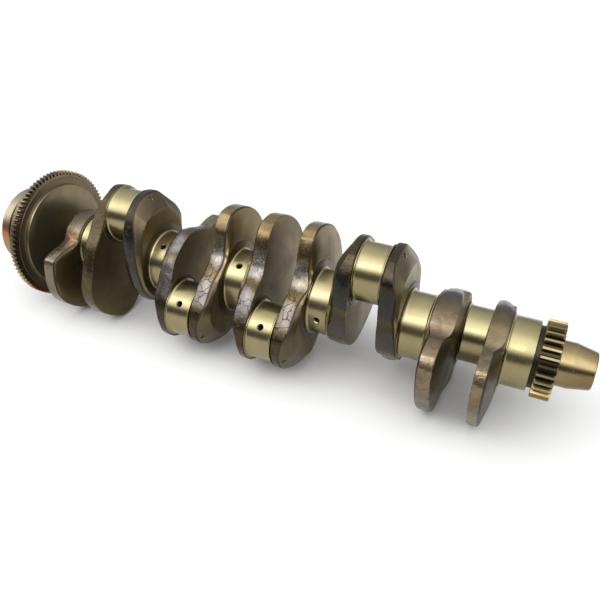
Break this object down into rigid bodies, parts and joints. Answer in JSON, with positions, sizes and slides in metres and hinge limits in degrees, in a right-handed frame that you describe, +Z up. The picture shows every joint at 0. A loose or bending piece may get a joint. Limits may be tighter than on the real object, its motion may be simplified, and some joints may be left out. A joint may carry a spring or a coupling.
{
  "type": "engine crankshaft",
  "caption": "Forged inline-engine crankshaft with ground main journals and crankpins, counterweight webs, a toothed ring before the flywheel flange and a gear behind a tapered nose.",
  "frame": {"origin": "centre of the flange face that the flywheel rests on, on the crank axis", "axes": "+X along the crank axis from the flange to the nose; +Z up, along the throw of the second and fifth crankpins; +Y completes the frame"},
  "size_m": [0.9238, 0.2201, 0.2197],
  "materials": {
    "journal_steel": "ground and polished, satin",
    "forged_web": "as forged with machined faces, oiled dark brown",
    "machined_steel": "turned",
    "gear_steel": "hobbed teeth, satin",
    "bright_steel": "plain"
  },
  "bodies": {
    "root": {"main_journal_1": "journal_steel", "main_journal_2": "journal_steel", "main_journal_3": "journal_steel", "main_journal_4": "journal_steel", "main_journal_5": "journal_steel", "main_journal_6": "journal_steel", "main_journal_7": "journal_steel", "crankpin_1": "journal_steel", "crankpin_2": "journal_steel", "crankpin_3": "journal_steel", "crankpin_4": "journal_steel", "crankpin_5": "journal_steel", "crankpin_6": "journal_steel", "web_1": "forged_web", "web_2": "forged_web", "web_3": "forged_web", "web_4": "forged_web", "web_5": "forged_web", "web_6": "forged_web", "web_7": "forged_web", "web_8": "forged_web", "web_9": "forged_web", "web_10": "forged_web", "web_11": "forged_web", "web_12_round": "machined_steel", "toothed_ring": "gear_steel", "rear_flange": "machined_steel", "flange_dowel": "bright_steel", "nose_stub": "machined_steel", "front_gear": "gear_steel", "gear_key": "bright_steel", "gallery_plug_1": "bright_steel", "gallery_plug_2": "bright_steel", "gallery_plug_3": "bright_steel", "gallery_plug_4": "bright_steel", "gallery_plug_5": "bright_steel", "gallery_plug_6": "bright_steel"}
  },
  "joints": []
}
